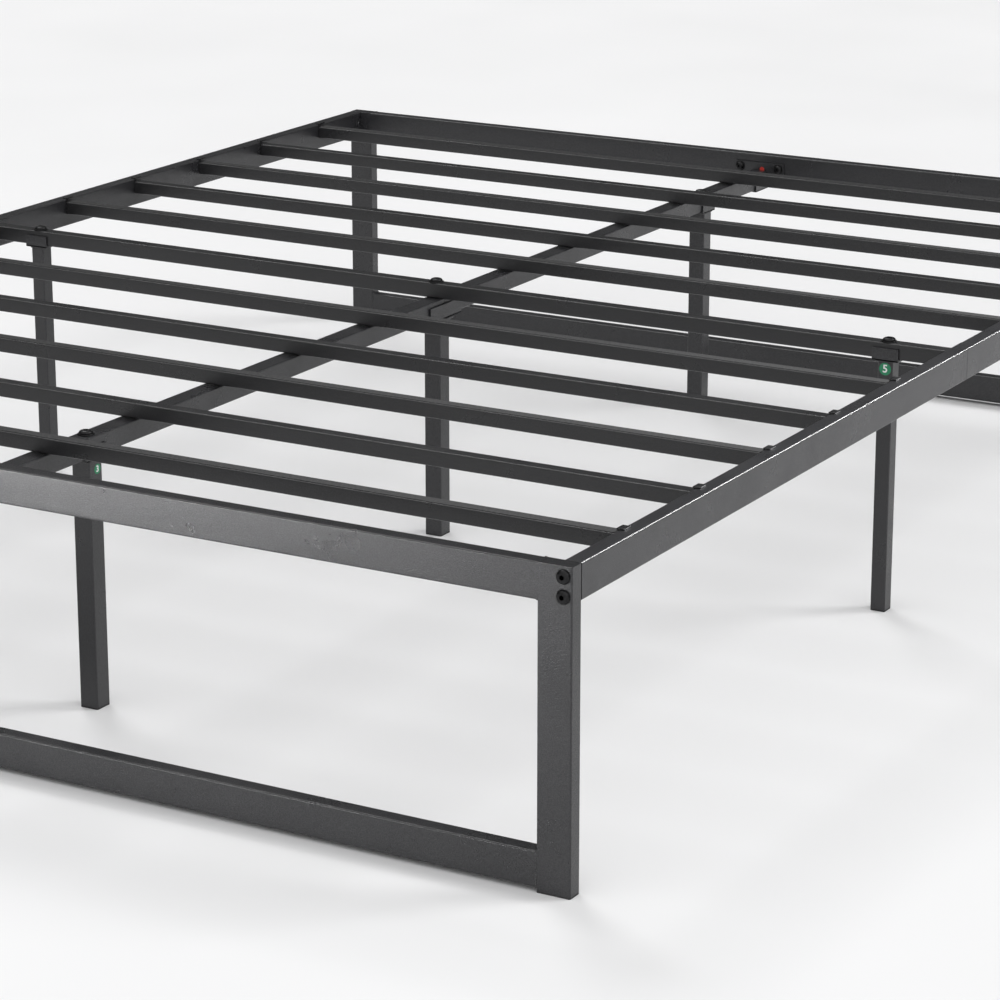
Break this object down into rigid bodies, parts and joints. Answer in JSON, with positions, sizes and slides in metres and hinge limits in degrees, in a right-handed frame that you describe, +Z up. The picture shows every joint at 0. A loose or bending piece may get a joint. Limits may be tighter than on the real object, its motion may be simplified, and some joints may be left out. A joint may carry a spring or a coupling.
{
  "type": "metal bed frame",
  "caption": "Low black steel platform bed frame: welded rectangular-tube end frames, bolted side rails, cross slats and a centre beam on inner legs.",
  "frame": {"origin": "centre of the footprint, on the floor", "axes": "+Y from the foot end to the head end, +X to the right seen from the foot end, +Z up"},
  "size_m": [1.524, 2.0406, 0.3574],
  "materials": {
    "frame_coat": "satin black powder coat with a fine grain",
    "slat_coat": "satin black powder coat with a fine grain",
    "bolt_steel": "black oxide steel",
    "foot_plastic": "moulded matte black"
  },
  "bodies": {
    "root": {"beam_bracket_foot": "frame_coat", "beam_bracket_head": "frame_coat", "beam_splice": "frame_coat", "centre_beam_foot_half": "frame_coat", "centre_beam_head_half": "frame_coat", "corner_bolt_foot_left_lower": "bolt_steel", "corner_bolt_foot_left_upper": "bolt_steel", "corner_bolt_foot_right_lower": "bolt_steel", "corner_bolt_foot_right_upper": "bolt_steel", "corner_bolt_head_left_lower": "bolt_steel", "corner_bolt_head_left_upper": "bolt_steel", "corner_bolt_head_right_lower": "bolt_steel", "corner_bolt_head_right_upper": "bolt_steel", "foot_leg_left": "frame_coat", "foot_leg_left_cap": "foot_plastic", "foot_leg_right": "frame_coat", "foot_leg_right_cap": "foot_plastic", "foot_stretcher": "frame_coat", "foot_top_rail": "frame_coat", "head_leg_left": "frame_coat", "head_leg_left_cap": "foot_plastic", "head_leg_right": "frame_coat", "head_leg_right_cap": "foot_plastic", "head_stretcher": "frame_coat", "head_top_rail": "frame_coat", "rail_splice_left": "frame_coat", "rail_splice_right": "frame_coat", "side_rail_left_foot_half": "frame_coat", "side_rail_left_head_half": "frame_coat", "side_rail_right_foot_half": "frame_coat", "side_rail_right_head_half": "frame_coat", "slat_01": "slat_coat", "slat_02": "slat_coat", "slat_03": "slat_coat", "slat_04": "slat_coat", "slat_05": "slat_coat", "slat_06": "slat_coat", "slat_07": "slat_coat", "slat_08": "slat_coat", "slat_09": "slat_coat", "slat_10": "slat_coat", "slat_11": "slat_coat", "support_bolt_foot": "bolt_steel", "support_bolt_head": "bolt_steel", "support_bolt_left": "bolt_steel", "support_bolt_middle": "bolt_steel", "support_bolt_right": "bolt_steel", "support_foot_foot": "foot_plastic", "support_foot_head": "foot_plastic", "support_foot_left": "foot_plastic", "support_foot_middle": "foot_plastic", "support_foot_right": "foot_plastic", "support_leg_foot": "frame_coat", "support_leg_head": "frame_coat", "support_leg_left": "frame_coat", "support_leg_middle": "frame_coat", "support_leg_right": "frame_coat"}
  },
  "joints": []
}
